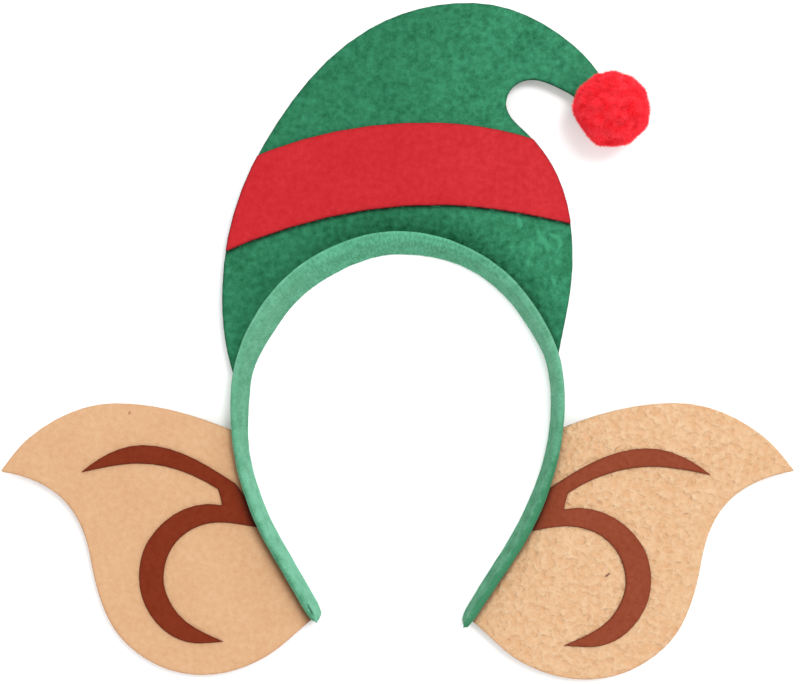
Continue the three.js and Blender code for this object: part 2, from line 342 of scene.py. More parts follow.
def stained(board, place, colour, mark):
    """A small stain: a blurred oval at a place, turned, with a ragged rim."""
    oval = board.add(
        "ShaderNodeMapping", {"vector_type": "TEXTURE"},
        {"Vector": place, "Location": (*mark["at"], FELT_MIDDLE),
         "Rotation": (0, 0, math.radians(mark["turn"])), "Scale": (*mark["size"], MARK_HEIGHT)},
    )
    reach = board.add("ShaderNodeVectorMath", {"operation": "LENGTH"}, {0: oval}, output=1)
    ragged = reach + board.speckle(place, MARK_GRAIN, seed=4)
    mask = 1 - board.ramp(ragged, *MARK_BLUR)
    return board.blend(mask * mark["depth"], colour, mark["tint"])


# %% The felts
LEFT_EAR_MARKS = [
    {"at": (-107.7 * MM, -32.2 * MM), "size": (0.9 * MM, 0.7 * MM), "turn": 40, "depth": 0.6,
     "tint": tint(160, 92, 66)},
]
RIGHT_EAR_MARKS = [
    {"at": (85.1 * MM, -90.8 * MM), "size": (1.7 * MM, 0.7 * MM), "turn": 28, "depth": 0.85,
     "tint": tint(112, 62, 44)},
]
green_felt = felt(
    "felt_green", tint(0, 76, 40), tint(72, 168, 124), tint(14, 66, 40),
    flecks={"cloud": 0.25, "blotch": 0.9, "fibre": 0.35, "hide": 0.1},
    wrinkle=0.14, pressed=(-20 * MM, 60 * MM), emboss=0.2 * MM, seed=1)
red_felt = felt(
    "felt_red", tint(192, 20, 32), tint(230, 60, 66), tint(70, 12, 14),
    flecks={"cloud": 0.3, "blotch": 0.7, "fibre": 0.35, "hide": 0.0},
    wrinkle=0.15, pressed=(-20 * MM, 60 * MM), emboss=0.1 * MM, seed=2)
left_beige = felt(
    "felt_beige_left", tint(216, 156, 109), tint(250, 208, 165), tint(212, 156, 112),
    flecks={"cloud": 0.3, "blotch": 0.6, "fibre": 0.45, "hide": 0.1},
    wrinkle=0.0, pressed=(-90 * MM, 0.0), emboss=0.35 * MM, seed=3,
    marks=LEFT_EAR_MARKS)
right_beige = felt(
    "felt_beige_right", tint(230, 172, 121), tint(255, 218, 177), tint(222, 168, 124),
    flecks={"cloud": 0.3, "blotch": 0.5, "fibre": 0.25, "hide": 0.85},
    wrinkle=0.0, pressed=(0.0, 90 * MM), emboss=1.5 * MM, seed=4,
    marks=RIGHT_EAR_MARKS)
left_brown = felt(
    "felt_brown_left", tint(116, 32, 6), tint(152, 66, 38), tint(92, 28, 12),
    flecks={"cloud": 0.3, "blotch": 0.6, "fibre": 0.5, "hide": 0.1},
    wrinkle=0.1, pressed=(-90 * MM, 0.0), emboss=0.2 * MM, seed=5)
right_brown = felt(
    "felt_brown_right", tint(130, 52, 26), tint(170, 86, 60), tint(108, 44, 24),
    flecks={"cloud": 0.3, "blotch": 0.6, "fibre": 0.5, "hide": 0.1},
    wrinkle=0.1, pressed=(0.0, 90 * MM), emboss=0.2 * MM, seed=6)
print("felts:", [m.name for m in bpy.data.materials if m.name.startswith("felt")])

# %% [markdown]
# ## The line of the hoop
#
# Several steps need to know where a point lies along the hoop: the ribs of the sleeve run
# across it, and the felt is held next to it. The front rim is an arch, then a flatter arc
# down each cheek, then a straight leg. From there the strip leans inwards towards its back edge,
# most at the upper left, and the rim lies up to about a millimetre off the arcs. The line could
# be read off the solid's vertices, but these lie far apart on its straight stretches, and the
# few measures that the solid was drawn with give it exactly.

# %% Measures of the hoop
HOOP_CENTRE = np.array((-1.037 * MM, -23.059 * MM))
HOOP_RADIUS = 67.1 * MM
ARCH_ANGLE = math.radians(90)
CHEEK_RADIUS = 116 * MM
CHEEK_ANGLE = math.radians(32)
LEG_LENGTH = 34 * MM
BAND_DEPTH = 14 * MM
BAND_THICKNESS = 3.4 * MM
STATION_STEP = 0.5 * MM
# Angle of the lean in degrees and inset of the rim in millimetres, at shares of the rim's length
BAND_LEAN = [
    {"along": 0.0, "lean": 8.5, "inset": 0.0},
    {"along": 0.17, "lean": 10, "inset": -0.1},
    {"along": 0.25, "lean": 17.5, "inset": 0.2},
    {"along": 0.33, "lean": 25.5, "inset": 1.2},
    {"along": 0.41, "lean": 27.3, "inset": 0.9},
    {"along": 0.5, "lean": 23.5, "inset": 0.0},
    {"along": 0.6, "lean": 16, "inset": 0.4},
    {"along": 0.66, "lean": 13.5, "inset": 0.8},
    {"along": 0.72, "lean": 8, "inset": 0.1},
    {"along": 0.8, "lean": 7, "inset": -0.1},
    {"along": 0.88, "lean": 9.5, "inset": -0.1},
    {"along": 0.94, "lean": 7.7, "inset": -0.1},
    {"along": 1.0, "lean": 3.5, "inset": 0.0},
]

arch_length = HOOP_RADIUS * ARCH_ANGLE
cheek_length = CHEEK_RADIUS * CHEEK_ANGLE
half_rim = arch_length + cheek_length + LEG_LENGTH
print(f"the hoop is {2 * half_rim / MM:.0f} mm long round its rim")


# %% Stations on the rim
def soft_step(values):
    share = np.clip(values, 0, 1)
    return share * share * (3 - 2 * share)


def tree_of(points):
    """A tree that finds the nearest of some points, by its row."""
    tree = kdtree.KDTree(len(points))
    for row, point in enumerate(points):
        tree.insert(point, row)
    tree.balance()
    return tree


def rim_stations():
    """Place, outward direction and distance from the crown of points along the rim."""
    run = np.linspace(-half_rim, half_rim, round(2 * half_rim / STATION_STEP) + 1)
    reach = np.abs(run)
    arch = np.minimum(reach, arch_length) / HOOP_RADIUS
    turn = arch + np.clip(reach - arch_length, 0, cheek_length) / CHEEK_RADIUS
    leg = np.maximum(reach - arch_length - cheek_length, 0)
    flat = HOOP_RADIUS - CHEEK_RADIUS
    x = flat * np.sin(arch) + CHEEK_RADIUS * np.sin(turn) + leg * np.cos(turn)
    y = flat * np.cos(arch) + CHEEK_RADIUS * np.cos(turn) - leg * np.sin(turn)
    side = np.sign(run)
    places = np.stack([side * x, y], axis=1) + HOOP_CENTRE
    out = np.stack([side * np.sin(turn), np.cos(turn)], axis=1)
    return places, out, run


def drawn_in(along, depth):
    """How far the outer face lies inside the arcs, at a distance below the front rim."""
    table = {key: np.array([row[key] for row in BAND_LEAN]) for key in BAND_LEAN[0]}
    share = (along / half_rim + 1) / 2
    after = np.clip(np.searchsorted(table["along"], share), 1, len(BAND_LEAN) - 1)
    start, end = table["along"][after - 1], table["along"][after]
    part = soft_step((share - start) / (end - start))
    lean, inset = (
        table[key][after - 1] * (1 - part) + table[key][after] * part for key in ("lean", "inset")
    )
    return inset * MM + depth * np.tan(np.radians(lean))


RIM_PLACES, RIM_OUT, RIM_RUN = rim_stations()
RIM_TREE = tree_of([(x, y, 0) for x, y in RIM_PLACES])
print("stations on the rim:", len(RIM_PLACES))


def by_hoop(places):
    """Distance along the hoop and outwards from its rim, and the outward direction there."""
    nearest = np.array([RIM_TREE.find((x, y, 0))[1] for x, y, _ in places])
    out = RIM_OUT[nearest]
    gap = places[:, :2] - RIM_PLACES[nearest]
    along = RIM_RUN[nearest] + gap[:, 0] * out[:, 1] - gap[:, 1] * out[:, 0]
    return along, np.sum(gap * out, axis=1), out


# %% [markdown]
# ## A fine mesh from a plain solid
#
# The solids are faceted and flat, and their long thin triangles can't take lumps or wrinkles.
# Subdividing them would give more thin triangles. So a copy of a solid is merged and remeshed on
# a grid of voxels, whose faces are all about as large, and a light smoothing rounds its cut edges
# as a blade and some wear do. The piece keeps the size and place of its solid.


# %% Helpers on meshes
def only(thing):
    """Selects one object and nothing else."""
    bpy.ops.object.select_all(action="DESELECT")
    thing.select_set(True)
    bpy.context.view_layer.objects.active = thing


def apply(thing, kind, **settings):
    """Adds a modifier, sets it and applies it."""
    only(thing)
    modifier = thing.modifiers.new(kind.lower(), kind)
    for name, value in settings.items():
        setattr(modifier, name, value)
    bpy.ops.object.modifier_apply(modifier=modifier.name)


def fine_copy(node, name, voxel, rounds):
    """The solid of a node as a fine, smooth mesh of its own."""
    piece = bpy.data.objects.new(name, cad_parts[node].data.copy())
    bpy.context.scene.collection.objects.link(piece)
    piece.data.materials.clear()
    only(piece)
    bpy.ops.object.mode_set(mode="EDIT")
    bpy.ops.mesh.select_all(action="SELECT")
    bpy.ops.mesh.remove_doubles(threshold=1e-6)
    bpy.ops.object.mode_set(mode="OBJECT")
    apply(piece, "REMESH", mode="VOXEL", voxel_size=voxel)
    apply(piece, "SMOOTH", factor=0.5, iterations=rounds)
    return piece


def vectors(collection, field):
    """A field of all vertices or normals, one row each."""
    flat = np.empty(len(collection) * 3)
    collection.foreach_get(field, flat)
    return flat.reshape(-1, 3)


def move_to(piece, places):
    """Moves the vertices and shades the piece smooth."""
    piece.data.vertices.foreach_set("co", places.ravel())
    piece.data.update()
    only(piece)
    bpy.ops.object.shade_smooth()


def keep(piece, name, values, kind="FLOAT"):
    """Stores a value for each vertex, for the piece's material to read."""
    field = piece.data.attributes.new(name, kind, "POINT")
    field.data.foreach_set("value" if kind == "FLOAT" else "vector", np.ravel(values))


# %% [markdown]
# ## Relief of the felt
#
# Four things shape a felt piece. The whole sheet sags and lifts by a fraction of a millimetre,
# but not where the hoop holds it. Next to the hoop it dips towards its groove. Its faces have
# low lumps. And there are a few creases, where it was folded in its bag: a crease is a low ridge
# that wanders along a line and breaks off here and there. Cloth simulation would be the way to
# drape a loose sheet, but this felt is stiff and glued along a whole side, so its vertices are
# moved instead. The relief is in the mesh, so it is there from every side, and only the finest
# fibres are left to the material. A cut edge is painted darker, as painted shade, most where it
# faces away from the lamp, and on the pale felt of the ears a lit edge is hardly painted darker
# at all.

# %% Measures of the relief
WAVE_LENGTH = 55 * MM
WAVE_SEED = 3.7
SAG = 0.35 * MM
HELD = 20 * MM  # the waves grow to their full height over this distance from the hoop
DIP_WIDTH = 6.5 * MM
UNDER_RIM = 3 * MM  # the felt runs on this far under the rim, into its groove
# width of the painted shade next to the hoop
PAINTED_SHADE_WIDTH = 5 * MM
CREASE_TURNS = 5 * MM  # size of the turns of a crease
CREASE_STRAY = 2.2 * MM  # how far it wanders there
CREASE_SHOWN = 0.7  # how plainly it shows on average
CREASE_TAPER = 0.25  # share of its length over which it fades at each end
CUT_SLOPE = 0.75  # a vertex is on a cut edge where its normal rises less than this
EDGE_FADE = 0.4 * MM
LIT_WAY = np.array((0.63, 0.78))  # towards the lamp, seen from above
LIT_EDGE_DEEP = 0.6  # how dark a lit edge is on deep colours, as a share of one in the shade
LIT_EDGE_PALE = 0.15  # and on beige


# %% Waves, lumps and creases
def wave(places):
    """Height of the slow waves of the sheet, from -1 to 1."""
    flat = places[:, :2] / WAVE_LENGTH
    return np.array([noise.noise((x, y, WAVE_SEED)) for x, y in flat])


def lumps(places, size, stretch=1.0, turn=0.0, seed=0.0):
    """Noise from -1 to 1, with lumps of a size, drawn out along a direction."""
    cosine, sine = math.cos(math.radians(turn)), math.sin(math.radians(turn))
    along = (places[:, 0] * cosine + places[:, 1] * sine) / size / stretch
    across = (places[:, 1] * cosine - places[:, 0] * sine) / size
    height = places[:, 2] / size
    return np.array([noise.noise((u, v, w + seed)) for u, v, w in zip(along, across, height)])


def crease(flat, row):
    """Height of a ridge along a line, 1 on it, at places on the flat sheet."""
    start, end = np.array(row["start"]), np.array(row["end"])
    way = end - start
    part = np.clip(((flat - start) @ way) / (way @ way), 0, 1)
    off = np.linalg.norm(flat - start - part[:, None] * way, axis=1)
    ends = soft_step(part / CREASE_TAPER) * soft_step((1 - part) / CREASE_TAPER)
    return np.exp(-((off / row["width"]) ** 2)) * ends


def creased(places, rows):
    """Height of the creases, and how plainly one shows, 1 on its line."""
    height, ridge = np.zeros((2, len(places)))
    if rows:
        stray = np.stack([lumps(places, CREASE_TURNS, seed=seed) for seed in (20, 30)], axis=1)
        broken = CREASE_SHOWN + lumps(places, CREASE_TURNS, seed=40)
    for row in rows:
        line = crease(places[:, :2] + CREASE_STRAY * stray, row) * broken
        height += row["height"] * line
        ridge = np.maximum(ridge, line)
    return height, ridge


# %% Edges
def painted_edge_shade(piece, lit_edge):
    """Painted shade on cut edges: 1 on a cut edge in the shade, less on a lit one, fading inwards.
    """
    places = vectors(piece.data.vertices, "co")
    normals = vectors(piece.data.vertex_normals, "vector")
    shade = lit_edge + (1 - lit_edge) * soft_step(0.5 - normals[:, :2] @ LIT_WAY)
    cut = np.flatnonzero(np.abs(normals[:, 2]) < CUT_SLOPE)
    tree = tree_of(places[cut])
    found = [tree.find(place) for place in places]
    return np.array([shade[cut[row]] * math.exp(-reach / EDGE_FADE) for _, row, reach in found])


# %% A felt piece
def felted(piece, dips, relief, lit_edge, creases=()):
    """Gives a flat felt piece its waves, its dip at the hoop, its lumps and its creases, and
    stores where it is painted darker, as painted shade and shadow.
    """
    # where the cut edges are painted darker, as painted shade
    keep(piece, "edge", painted_edge_shade(piece, lit_edge))
    places = vectors(piece.data.vertices, "co")
    normals = vectors(piece.data.vertex_normals, "vector")
    along, outward, _ = by_hoop(places)
    free = np.maximum(outward, 0)
    dip, painted_shade, glued, wide = (
        np.interp(along, [row["run"] for row in dips], [row[key] for row in dips])
        for key in ("dip", "painted_shade", "glued", "wide")
    )
    near = np.exp(-((outward / DIP_WIDTH) ** 2)) * soft_step(1 + outward / UNDER_RIM)
    height, ridge = creased(places, creases)
    moved = places.copy()
    for seed, row in enumerate(relief):
        bump = row["height"] * lumps(places, row["size"], row["stretch"], row["turn"], seed)
        moved[:, 2] += normals[:, 2] * bump
    moved[:, 2] += soft_step(outward / HELD) * SAG * wave(places) + height - near * dip
    # painted shade next to the hoop, fading outwards
    keep(piece, "painted_shade", painted_shade * np.exp(-free / PAINTED_SHADE_WIDTH))
    # painted shadow line along the hoop, as wide as its row says
    keep(piece, "glued", glued * np.exp(-((free / wide) ** 2)))
    keep(piece, "ridge", ridge)
    move_to(piece, moved)


# %% [markdown]
# ## The hat and its stripe
#
# The hat is one flat cut of green felt with a curled tip, and the stripe is a thinner red felt
# glued on. One mesh with two colours would do for the picture, but then the stripe would have no
# edge of its own. So they are two pieces that take the same slow waves, because they bend
# together. The hat dips most at the crown and at the right of the arch, and there it is also
# painted darker, as painted shade: the rows give both by distance along the hoop from the crown,
# and the strength and width (`wide`) of a painted shadow line along the hoop. A cluster of
# wrinkles lies at the lower right, where the hat was pressed. Below the stripe the hat dips a
# little, and a painted shadow line runs along the stripe's lower edge.

# %% Hat
HAT_RELIEF = [
    {"height": 0.12 * MM, "size": 5 * MM, "stretch": 1.0, "turn": 0},
    {"height": 0.10 * MM, "size": 2.2 * MM, "stretch": 1.6, "turn": 60},
]
HAT_CREASES = [
    {"start": (53.5 * MM, 47 * MM), "end": (58.3 * MM, 34 * MM),
     "width": 0.8 * MM, "height": 0.9 * MM},
    {"start": (58.0 * MM, 37 * MM), "end": (58.8 * MM, 23 * MM),
     "width": 0.8 * MM, "height": 0.9 * MM},
    {"start": (57.0 * MM, 47 * MM), "end": (62.5 * MM, 40 * MM),
     "width": 0.7 * MM, "height": 0.8 * MM},
    {"start": (62.0 * MM, 43 * MM), "end": (62.5 * MM, 31 * MM),
     "width": 0.7 * MM, "height": 0.8 * MM},
    {"start": (43.0 * MM, 50 * MM), "end": (47.5 * MM, 46 * MM),
     "width": 0.7 * MM, "height": 0.4 * MM},
    {"start": (52.0 * MM, 42 * MM), "end": (49.0 * MM, 30 * MM),
     "width": 0.6 * MM, "height": 0.3 * MM},
]
# Rows by distance along the hoop: how deep the felt dips, how strongly it is painted darker as
# painted shade, and the strength and width of a painted shadow line along the hoop
HAT_DIPS = [
    {"run": -85 * MM, "dip": 0.3 * MM, "painted_shade": 0.05, "glued": 0.0, "wide": 1 * MM},
    {"run": -40 * MM, "dip": 0.5 * MM, "painted_shade": 0.2, "glued": 0.0, "wide": 1 * MM},
    {"run": -5 * MM, "dip": 1.6 * MM, "painted_shade": 0.72, "glued": 0.0, "wide": 1 * MM},
    {"run": 32 * MM, "dip": 1.8 * MM, "painted_shade": 0.72, "glued": 0.2, "wide": 1 * MM},
    {"run": 55 * MM, "dip": 0.8 * MM, "painted_shade": 0.4, "glued": 0.4, "wide": 1 * MM},
    {"run": 95 * MM, "dip": 0.2 * MM, "painted_shade": 0.05, "glued": 0.4, "wide": 1 * MM},
]

hat = fine_copy("hat", "hat_felt", voxel=0.66 * MM, rounds=3)
felted(hat, HAT_DIPS, HAT_RELIEF, LIT_EDGE_DEEP, HAT_CREASES)
hat.data.materials.append(green_felt)
print("hat:", len(hat.data.polygons), "faces")

# %% Stripe
STRIPE_RELIEF = [{"height": 0.05 * MM, "size": 3 * MM, "stretch": 1.0, "turn": 0}]

stripe = fine_copy("hat_stripe", "hat_stripe_felt", voxel=0.45 * MM, rounds=2)
felted(stripe, HAT_DIPS, STRIPE_RELIEF, LIT_EDGE_DEEP)
stripe.data.materials.append(red_felt)
print("stripe:", len(stripe.data.polygons), "faces")

# %% Painted shadow and a dip along the lower edge of the stripe
LINE_WIDTH = 1.1 * MM
LINE_DEPTH = 0.3 * MM
LINE_START = 0.1 * MM  # below the stripe

places = vectors(hat.data.vertices, "co")
stripe_tree = tree_of(vectors(stripe.data.vertices, "co"))
found = [stripe_tree.find(place) for place in places]
reach = np.array([distance for _, _, distance in found])
rise = np.array([near.y for near, _, _ in found]) - places[:, 1]
# a painted shadow line below the stripe's lower edge, where the hat also dips
line = (rise > LINE_START) * np.exp(-((reach / LINE_WIDTH) ** 2))
glued = np.empty(len(places))
hat.data.attributes["glued"].data.foreach_get("value", glued)
hat.data.attributes["glued"].data.foreach_set("value", np.maximum(glued, line))
places[:, 2] -= LINE_DEPTH * line
move_to(hat, places)
print("vertices in the glue line:", np.count_nonzero(line > 0.5))

# %% [markdown]
# ## The ears and their folds
#
# The two ears were cut from different rolls. The left one is nearly smooth, and the right one
# is embossed with fine folds, like leather. Each has a brown trim of thin felt, glued on, that
# draws the folds of an ear. Mirroring one ear would be quicker, but neither the outlines nor the
# felts are the same, so one function makes both from their own solids and their own relief. The
# folds are lumps drawn out in two directions that cross.

# %% Ears
# Rows by distance along the hoop: how deep the ears dip beside the legs, how strongly they are
# painted darker there as painted shade, and the strength and width of the band's painted shadow on
# them
EAR_DIPS = [
    {"run": -160 * MM, "dip": 0.4 * MM, "painted_shade": 0.3, "glued": 1.0, "wide": 2.6 * MM},
    {"run": -120 * MM, "dip": 0.4 * MM, "painted_shade": 0.2, "glued": 0.4, "wide": 1.4 * MM},
    {"run": 120 * MM, "dip": 0.4 * MM, "painted_shade": 0.2, "glued": 0.5, "wide": 1 * MM},
    {"run": 160 * MM, "dip": 0.4 * MM, "painted_shade": 0.2, "glued": 1.0, "wide": 1.5 * MM},
]
LEFT_RELIEF = [
    {"height": 0.08 * MM, "size": 4 * MM, "stretch": 1.0, "turn": 0},
    {"height": 0.06 * MM, "size": 1.7 * MM, "stretch": 1.0, "turn": 0},
]
RIGHT_RELIEF = [
    {"height": 0.08 * MM, "size": 4 * MM, "stretch": 1.0, "turn": 0},
    {"height": 0.36 * MM, "size": 2.2 * MM, "stretch": 1.6, "turn": 25},
    {"height": 0.34 * MM, "size": 1.8 * MM, "stretch": 1.6, "turn": -50},
]
TRIM_RELIEF = [{"height": 0.03 * MM, "size": 2.5 * MM, "stretch": 1.0, "turn": 0}]


def ear(side, relief, beige, brown):
    """One ear and its trim."""
    piece = fine_copy(f"ear_{side}", f"ear_{side}_felt", voxel=0.66 * MM, rounds=3)
    felted(piece, EAR_DIPS, relief, LIT_EDGE_PALE)
    piece.data.materials.append(beige)
    trim = fine_copy(f"ear_fold_{side}", f"ear_fold_{side}_felt", voxel=0.33 * MM, rounds=2)
    felted(trim, EAR_DIPS, TRIM_RELIEF, LIT_EDGE_DEEP)
    trim.data.materials.append(brown)
    print(f"{side} ear:", len(piece.data.polygons), "faces, its trim", len(trim.data.polygons))
    return piece, trim


left_ear, left_trim = ear("left", LEFT_RELIEF, left_beige, left_brown)
right_ear, right_trim = ear("right", RIGHT_RELIEF, right_beige, right_brown)

# %% [markdown]
# ## The knitted sleeve
#
# The sleeve is drawn tight over the hoop. Its fine stitches make short uneven dashes across the
# strip, clearest at the crown. Modelling each stitch would take millions of faces for something
# finer than a pixel, so the material draws them. Noise in space wouldn't follow the bent strip:
# each vertex stores where it lies, along the hoop and round the strip from the outer edge of its
# front rim, inwards, and the dashes are drawn on these two.
#
# What is larger is moved into the mesh. On the arch the cloth stands up in a narrow ridge at the
# outer edge, which is also painted paler, as a painted highlight. The legs are rolled, so their
# middle stands out; their inner side is painted paler and their outer side darker, as painted
# light and shade, and the right leg is painted darker still, as painted shade. At the crown the
# pale tint is deeper, as painted shade on the inner face. The left leg has a soft furrow along its
# inner side, and at its tip the end of the sleeve is tucked into a short slit, dented and painted
# dark as painted shade. Both ends are rounded, and the right one is cut askew.

# %% Sleeve finish
KNIT_DARK = tint(70, 144, 104)
KNIT_PALE = tint(136, 212, 176)
# a deeper pale tint for the crown: painted shade on its inner face
KNIT_PALE_CROWN = tint(118, 212, 172)
# painted shade in the slit at the left tip
SLIT_SHADE = tint(20, 70, 48)
# How much paler each makes the knit, 1 being the way from its dark to its pale tint. The ridge
# is a painted highlight, the roll paints the legs paler inside and darker outside as painted light
# and shade, and shade is painted shade on the right leg.
KNIT_TONE = {"plain": 0.48, "ridge": 0.15, "roll": 0.55, "rib": 0.06, "fuzz": 0.4, "shade": -0.6}
RIB_PITCH = 1.15 * MM
RIB_WANDER = 9  # radians by which a rib strays, for a whole step of the noise
RIB_RISE, DASH_RISE, FUZZ_RISE = 0.04 * MM, 0.2 * MM, 0.08 * MM
RIDGE_AT = 0.7 * MM  # distance of the ridge from the outer edge of the rim
RIDGE_HIGHLIGHT_BLUR = (0.3 * MM, 1.2 * MM)
ROLL_LIGHT_BLUR = (0.8 * MM, 4.5 * MM)
CROWN_FADE = (20 * MM, 75 * MM)  # distances from the crown between which its look fades
LEG_FADE = (110 * MM, 150 * MM)  # and between which that of the legs begins
SHADE_FADE = (100 * MM, 150 * MM)  # the same of the painted shade on the right leg


def ribs(board, place, along, crown):
    """Waves along the hoop in patches, clearer at the crown."""
    wander = board.speckle(place, 4 * MM, seed=2)
    rib = (along * (math.tau / RIB_PITCH) + wander * RIB_WANDER).sine()
    clear = board.ramp(board.speckle(place, 5 * MM, seed=6), -0.08, 0.12)
    return rib * clear * board.between(crown, 0.3, 1.0)


def knit(board, place):
    weave = board.stored("weave", output=1)
    along, around = (
        board.add("ShaderNodeSeparateXYZ", {}, {0: weave}, output=index) for index in (0, 1)
    )
    drawn = board.add(
        "ShaderNodeVectorMath", {"operation": "MULTIPLY"}, {0: weave, 1: (1, 0.35, 1)}
    )
    dash = board.speckle(drawn, 0.9 * MM, seed=1)
    crown = 1 - board.ramp(abs(along), *CROWN_FADE)
    cloud = board.speckle(place, 5 * MM, detail=3, seed=8)
    fuzz = board.speckle(place, 0.7 * MM, seed=9, twist=1)
    leg = board.ramp(abs(along), *LEG_FADE)
    # painted shade on the right leg
    shaded = board.ramp(along, *SHADE_FADE)
    # painted highlight along the ridge of the arch, and painted light and shade across the legs:
    # paler inside, darker outside
    ridge = (1 - board.ramp(abs(around - RIDGE_AT), *RIDGE_HIGHLIGHT_BLUR)) * (1 - leg)
    roll = (board.ramp(around, *ROLL_LIGHT_BLUR) - 0.3) * leg
    rib = ribs(board, place, along, crown)
    tone = ridge * KNIT_TONE["ridge"] + roll * KNIT_TONE["roll"] + rib * KNIT_TONE["rib"]
    tone = tone + dash * board.between(crown, 0.6, 1.3) + cloud * board.between(leg, 0.8, 1.1)
    tone = tone + fuzz * KNIT_TONE["fuzz"] + shaded * KNIT_TONE["shade"] + KNIT_TONE["plain"]
    # at the crown the deeper pale tint, as painted shade
    pale = board.blend(crown, KNIT_PALE, KNIT_PALE_CROWN)
    colour = board.blend(tone, KNIT_DARK, pale)
    # painted shade in the slit
    colour = board.blend(board.stored("slit"), colour, SLIT_SHADE)
    return colour, rib * RIB_RISE + dash * DASH_RISE + fuzz * FUZZ_RISE


knit_green = finish("knit_green", knit, bump=0.9)

# %% Ridges and furrows of the sleeve
ARCH_FADE = (75 * MM, 110 * MM)  # distances from the crown between which the arch's shape fades
LEFT_LEG_FADE = (110 * MM, 140 * MM)  # and between which the left leg's furrow begins
SLEEVE_FORMS = [
    {"form": "ridge", "part": "arch", "at": RIDGE_AT, "width": 0.7 * MM, "height": 0.45 * MM},
    {"form": "shoulder", "part": "arch", "at": 3.2 * MM, "width": 1.4 * MM, "height": -0.6 * MM},
    {"form": "outer edge", "part": "legs", "at": 0.0, "width": 1.5 * MM, "height": -0.9 * MM},
    {"form": "roll", "part": "legs", "at": 2.6 * MM, "width": 1.4 * MM, "height": 0.5 * MM},
    {"form": "furrow", "part": "left leg", "at": 5 * MM, "width": 0.7 * MM, "height": -0.4 * MM},
]
SLIT = {"at": 3.3 * MM, "width": 0.5 * MM, "height": -1.2 * MM}
SLIT_RUN = -199.2 * MM  # its middle, by distance along the hoop
SLIT_REACH = 2.6 * MM
SAGS = {"size": 5 * MM, "height": 0.14 * MM}  # the cloth's soft unevenness


def strip_bump(around, row):
    """Height of a ridge or furrow along the strip, 1 on its line."""
    return np.exp(-(((around - row["at"]) / row["width"]) ** 2))


def fade(values, start, end):
    """0 up to start and 1 from end on, with a soft passage."""
    return soft_step((values - start) / (end - start))


# %% Sleeve
sleeve = fine_copy("band", "band_sleeve", voxel=0.5 * MM, rounds=3)
places = vectors(sleeve.data.vertices, "co")
normals = vectors(sleeve.data.vertex_normals, "vector")
along, outward, out = by_hoop(places)
depth = BAND_DEPTH - places[:, 2]
inward = -outward - drawn_in(along, depth)
around = inward + np.where(inward > BAND_THICKNESS / 2, depth, -depth)
print("sleeve:", len(sleeve.data.polygons), "faces")

# %% Round its tips
TIP_LENGTH = 3 * MM
TIP_BULGE = 0.6 * MM  # the middle of the end stands out
TIP_CORNERS = 2.2 * MM  # and its corners lie back from there
TIP_SLANT = 1.1 * MM  # the right tip is cut askew, longer on its outer side

near_tip = 1 - np.clip((half_rim - np.abs(along)) / TIP_LENGTH, 0, 1)
seen_width = BAND_THICKNESS + drawn_in(along, BAND_DEPTH)
off_middle = np.clip(-2 * outward / seen_width - 1, -1, 1)
tipwards = np.sign(along)[:, None] * out[:, ::-1] * (1, -1)
slant = TIP_SLANT * (along > 0)
end = TIP_BULGE - TIP_CORNERS * off_middle ** 2 - slant * off_middle
places[:, :2] += tipwards * (near_tip * end)[:, None]
print("vertices near its tips:", np.count_nonzero(near_tip))

# %% Its ridge, furrow and slit
on_arch = 1 - fade(np.abs(along), *ARCH_FADE)
parts = {"arch": on_arch, "legs": 1 - on_arch, "left leg": fade(-along, *LEFT_LEG_FADE)}
push = np.zeros(len(places))
for row in SLEEVE_FORMS:
    push += parts[row["part"]] * row["height"] * strip_bump(around, row)
slit = strip_bump(around, SLIT) * np.exp(-(((along - SLIT_RUN) / SLIT_REACH) ** 4))
push += SLIT["height"] * slit + SAGS["height"] * lumps(places, SAGS["size"])
places += normals * push[:, None]
places[:, 2] = np.maximum(places[:, 2], 0)
move_to(sleeve, places)
keep(sleeve, "weave", np.stack([along, around, 0 * along], axis=1), "FLOAT_VECTOR")
# where the slit is dented, it is also painted dark, as painted shade
keep(sleeve, "slit", slit)
sleeve.data.materials.append(knit_green)
print(f"its ridges and furrows: {push.min() / MM:.1f} to {push.max() / MM:.1f} mm")

# %% [markdown]
# ## The pompom
#
# A pompom is a tied bundle of yarn, trimmed to a ball, so its surface is the cut ends of
# thousands of fine fibres in small clumps. A hair system would grow such fibres, but they would
# be no mesh that another program can read. So a lumpy ball gives the mass, flattened at its lower
# left where it was pressed, and one short fibre is modelled and then set on it tens of thousands
# of times with Geometry Nodes. Each fibre stores how far along it a point is and how pale it is.
# The fibres are painted darker towards their roots, as painted shade. The two reds are brighter
# than a tint, because fibres shade each other.


# %% Fibre finish
DEEP_RED = (0.84, 0.012, 0.022, 1)
PALE_RED = (1.0, 0.078, 0.11, 1)
# How much paler each makes the yarn, 1 being the way from the deep to the pale red; tip paints
# the roots darker, as painted shade
FLUFF_TONE = {"plain": 0.3, "tip": 0.3, "shade": 0.15, "clump": 1.7}
CLUMP_RISE = 0.1 * MM


def fluff(board, place):
    clump = board.speckle(place, 3.4 * MM, seed=3)
    # painted shade towards the roots of the fibres
    tone = board.stored("tip") * FLUFF_TONE["tip"] + board.stored("shade") * FLUFF_TONE["shade"]
    tone = tone + clump * FLUFF_TONE["clump"] + FLUFF_TONE["plain"]
    return board.blend(tone, DEEP_RED, PALE_RED), clump * CLUMP_RISE


red_fluff = finish("fluff_red", fluff, bump=0.3, sheen=0)

# %% One fibre
FIBRE_LENGTH = 2.1 * MM
FIBRE_WIDTH = 0.27 * MM

